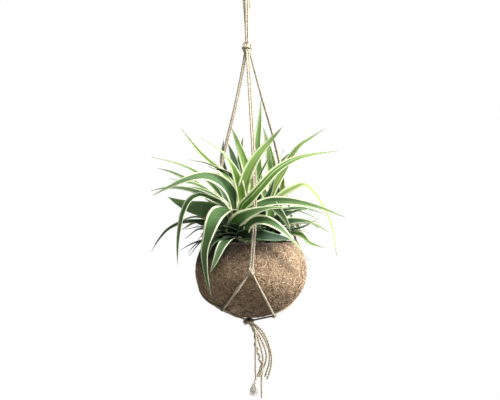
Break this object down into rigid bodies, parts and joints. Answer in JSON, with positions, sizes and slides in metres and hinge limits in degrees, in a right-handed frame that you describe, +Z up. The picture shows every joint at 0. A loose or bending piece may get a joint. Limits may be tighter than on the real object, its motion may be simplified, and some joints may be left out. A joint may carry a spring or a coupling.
{
  "type": "hanging kokedama spider plant",
  "caption": "Variegated spider plant in a ball-shaped coir pot, hung in a knotted jute twine hanger with a top loop and a loose tassel below.",
  "frame": {"origin": "the point inside the top of the hanging loop that bears on a hook", "axes": "+Z up along the plumb line, +X to the viewer's right, the front leg of the hanger towards -Y"},
  "size_m": [0.262, 0.2378, 0.5876],
  "materials": {
    "coir": "matte",
    "soil": "matte",
    "leaf": "satin",
    "jute": "matte"
  },
  "bodies": {
    "root": {"coir_pot": "coir", "potting_soil": "soil", "spider_plant": "leaf", "loop_strand_1": "jute", "loop_strand_2": "jute", "loop_strand_3": "jute", "top_knot": "jute", "side_knot_front": "jute", "side_knot_left": "jute", "side_knot_right": "jute", "lower_knot_left": "jute", "lower_knot_right": "jute", "lower_knot_back": "jute", "bottom_knot": "jute", "leg_strand_front_1": "jute", "leg_strand_front_2": "jute", "leg_strand_left_1": "jute", "leg_strand_left_2": "jute", "leg_strand_right_1": "jute", "leg_strand_right_2": "jute", "net_strand_front_to_left": "jute", "net_strand_front_to_right": "jute", "net_strand_right_to_right": "jute", "net_strand_right_to_back": "jute", "net_strand_left_to_left": "jute", "net_strand_left_to_back": "jute", "under_strand_left_1": "jute", "under_strand_left_2": "jute", "under_strand_right_1": "jute", "under_strand_right_2": "jute", "under_strand_back_1": "jute", "under_strand_back_2": "jute", "tassel_strand_1": "jute", "tassel_strand_2": "jute", "tassel_strand_3": "jute", "tassel_strand_4": "jute", "tassel_strand_5": "jute", "tassel_strand_6": "jute"}
  },
  "joints": []
}
